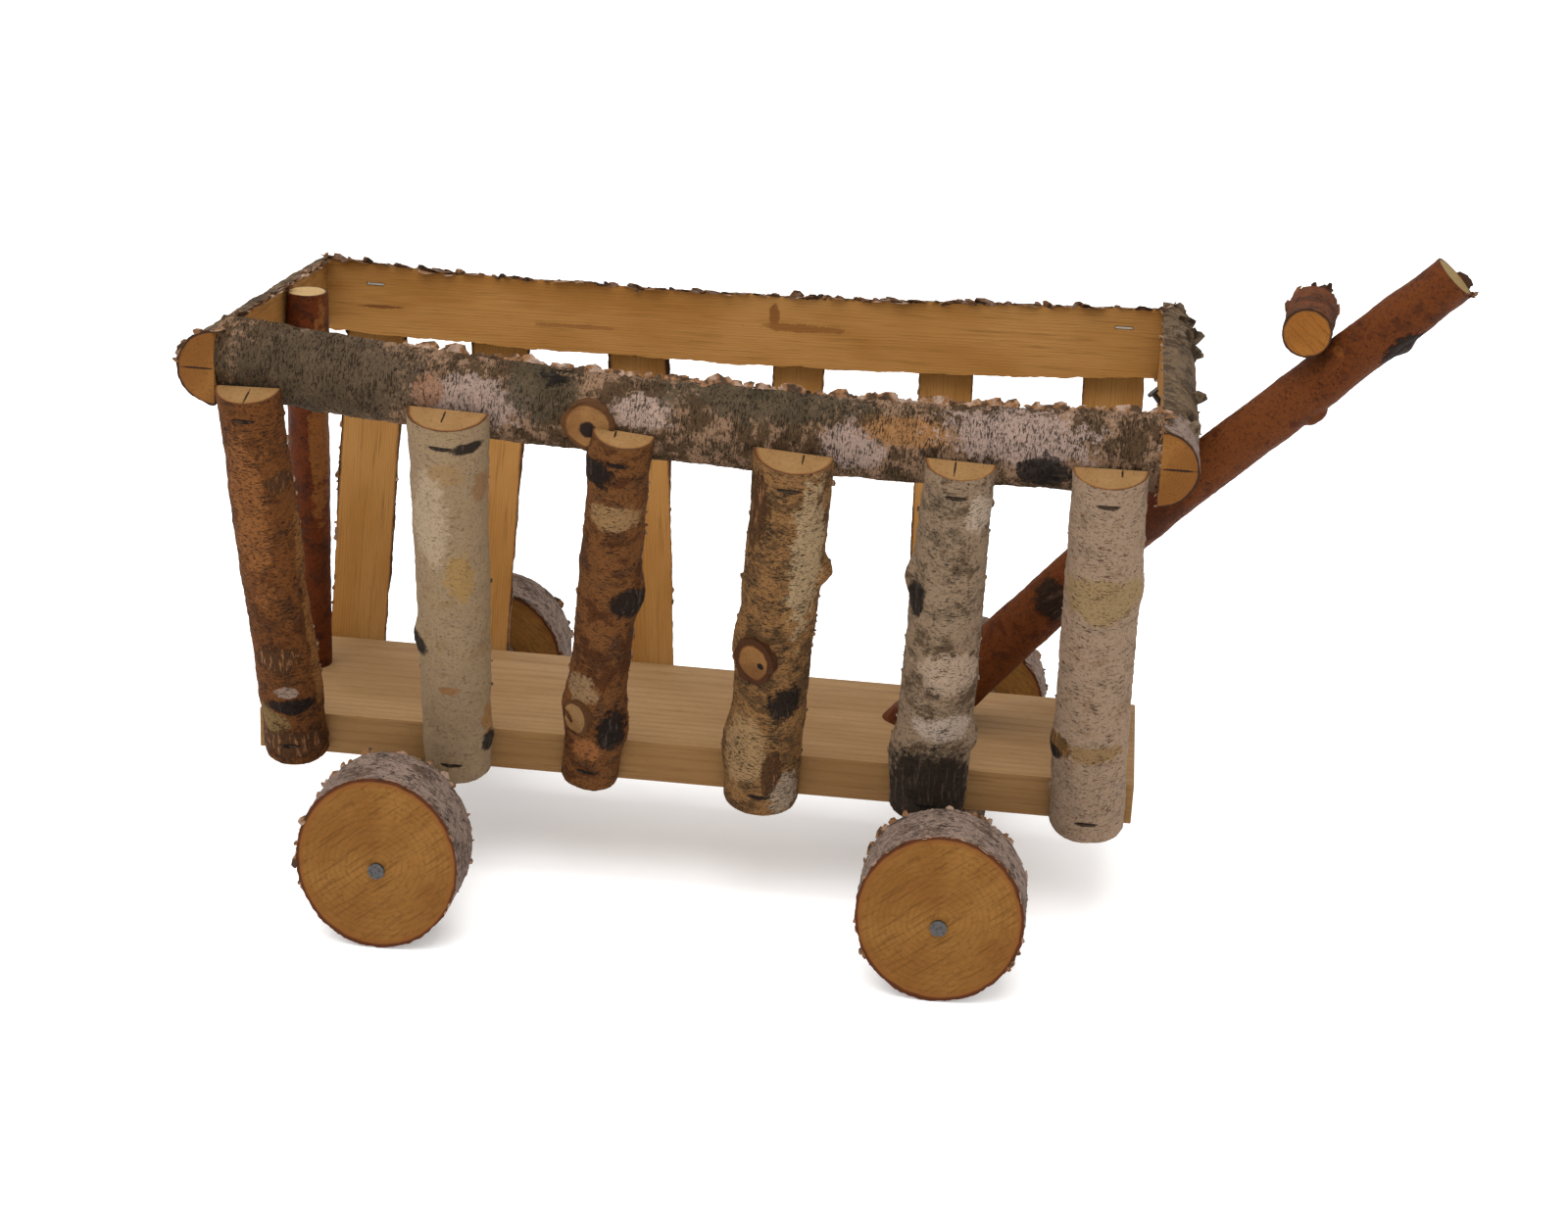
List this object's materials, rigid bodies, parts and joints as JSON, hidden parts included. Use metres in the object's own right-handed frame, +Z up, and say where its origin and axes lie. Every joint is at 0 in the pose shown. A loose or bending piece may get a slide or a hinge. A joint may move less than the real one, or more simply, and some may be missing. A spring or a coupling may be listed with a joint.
{
  "type": "rustic branch hand cart",
  "caption": "Rustic hand cart of birch branches: plank floor, leaning half-round slats, rail rim, log-slice wheels on nails and a slanting branch handle with a crossbar.",
  "frame": {"origin": "on the ground, under the middle of the overall length and width", "axes": "+X along the cart towards the handle, +Y across the cart away from the side with the near slats, +Z up"},
  "size_m": [0.6724, 0.3342, 0.39],
  "materials": {
    "sawn_board": "rough sawn pale pine, no varnish",
    "beam_bark": "grey birch bark with sawn wood on the seat and ends",
    "rail_bark": "grey and white flaking birch bark outside, sawn orange-tan wood on the flat face and ends",
    "end_rail_bark": "grey-brown curling birch bark outside, sawn wood on the flat face and ends",
    "slat_bark": "white to brown birch bark outside, sawn orange-tan wood on the flat face and ends",
    "log_slice": "sawn orange-tan faces with a thin red-brown bark ring and whitish flaking bark on the rim",
    "post_bark": "smooth dark reddish-brown bark, pale sawn top",
    "handle_bark": "smooth red-brown bark, yellowish sawn ends",
    "nail_steel": "dull grey steel",
    "staple_steel": "bright to tarnished steel wire"
  },
  "bodies": {
    "cart": {"floor_board": "sawn_board", "rear_axle_beam": "beam_bark", "front_axle_beam": "beam_bark", "near_rail": "rail_bark", "far_rail": "rail_bark", "rear_end_rail": "end_rail_bark", "front_end_rail": "end_rail_bark", "corner_post": "post_bark", "handle": "handle_bark", "crossbar": "handle_bark", "near_slat_staples": "staple_steel", "far_slat_staples": "staple_steel", "far_rail_staples": "staple_steel", "end_rail_nails": "nail_steel", "post_fasteners": "nail_steel", "handle_fasteners": "nail_steel", "crossbar_nail": "nail_steel", "beam_screws": "nail_steel", "near_slat_1": "slat_bark", "near_slat_2": "slat_bark", "near_slat_3": "slat_bark", "near_slat_4": "slat_bark", "near_slat_5": "slat_bark", "near_slat_6": "slat_bark", "far_slat_1": "slat_bark", "far_slat_2": "slat_bark", "far_slat_3": "slat_bark", "far_slat_4": "slat_bark", "far_slat_5": "slat_bark", "far_slat_6": "slat_bark", "rear_near_wheel_nail": "nail_steel", "rear_far_wheel_nail": "nail_steel", "front_near_wheel_nail": "nail_steel", "front_far_wheel_nail": "nail_steel"},
    "rear_near_wheel": {"rear_near_wheel": "log_slice"},
    "rear_far_wheel": {"rear_far_wheel": "log_slice"},
    "front_near_wheel": {"front_near_wheel": "log_slice"},
    "front_far_wheel": {"front_far_wheel": "log_slice"}
  },
  "joints": [
    {"name": "rear_near_wheel_spin", "type": "hinge", "parent": "cart", "child": "rear_near_wheel", "pos_m": [-0.21876, -0.1653, 0.0471], "axis": [0, 1, 0], "continuous": true},
    {"name": "rear_far_wheel_spin", "type": "hinge", "parent": "cart", "child": "rear_far_wheel", "pos_m": [-0.21876, 0.1653, 0.0471], "axis": [0, 1, 0], "continuous": true},
    {"name": "front_near_wheel_spin", "type": "hinge", "parent": "cart", "child": "front_near_wheel", "pos_m": [0.08475, -0.1653, 0.0443], "axis": [0, 1, 0], "continuous": true},
    {"name": "front_far_wheel_spin", "type": "hinge", "parent": "cart", "child": "front_far_wheel", "pos_m": [0.08475, 0.1653, 0.0443], "axis": [0, 1, 0], "continuous": true}
  ]
}
